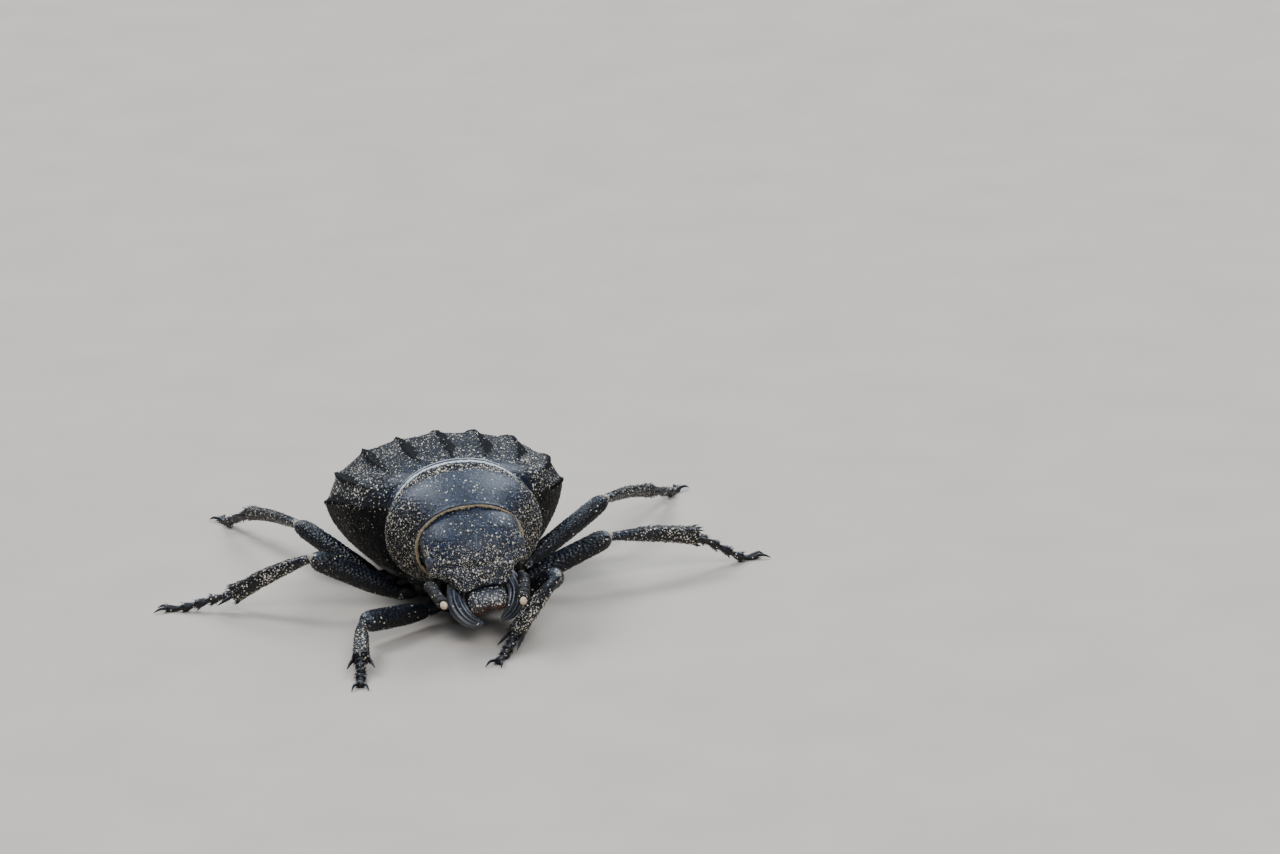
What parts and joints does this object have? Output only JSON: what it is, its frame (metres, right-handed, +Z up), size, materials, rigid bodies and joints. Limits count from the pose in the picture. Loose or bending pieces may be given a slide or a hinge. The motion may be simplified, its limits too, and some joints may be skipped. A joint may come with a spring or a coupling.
{
  "type": "darkling beetle",
  "caption": "Life-size black darkling beetle with a bent-down head, ridged domed wing cases, beaded feelers and spread spiny legs, standing on its feet.",
  "frame": {"origin": "on the floor under the middle of the beetle's bounding box", "axes": "+Z up, -Y towards the head, +X towards the beetle's left side"},
  "size_m": [0.0316, 0.0316, 0.0078],
  "materials": {
    "shell": "black horn-like shell with a satin sheen and fine grains",
    "venter": "black, rough, half matt",
    "leg": "blue-black, pitted, half matt",
    "mouth": "black, grooved, satin",
    "feeler": "dark grey-brown, matt",
    "feeler_tip": "pale cream, matt",
    "eye": "black, glossy"
  },
  "bodies": {
    "root": {"abdomen": "venter", "antenna_left": "feeler", "antenna_right": "feeler", "antenna_tip_left": "feeler_tip", "antenna_tip_right": "feeler_tip", "coxa_front_left": "leg", "coxa_front_right": "leg", "coxa_hind_left": "leg", "coxa_hind_right": "leg", "coxa_middle_left": "leg", "coxa_middle_right": "leg", "elytron_left": "shell", "elytron_right": "shell", "eye_left": "eye", "eye_right": "eye", "femur_front_left": "leg", "femur_front_right": "leg", "femur_hind_left": "leg", "femur_hind_right": "leg", "femur_middle_left": "leg", "femur_middle_right": "leg", "head": "shell", "labrum": "mouth", "mandible_left": "mouth", "mandible_right": "mouth", "palp_left": "feeler", "palp_right": "feeler", "pronotum": "shell", "pterothorax": "venter", "tarsus_front_left": "leg", "tarsus_front_right": "leg", "tarsus_hind_left": "leg", "tarsus_hind_right": "leg", "tarsus_middle_left": "leg", "tarsus_middle_right": "leg", "tibia_front_left": "leg", "tibia_front_right": "leg", "tibia_hind_left": "leg", "tibia_hind_right": "leg", "tibia_middle_left": "leg", "tibia_middle_right": "leg"}
  },
  "joints": []
}
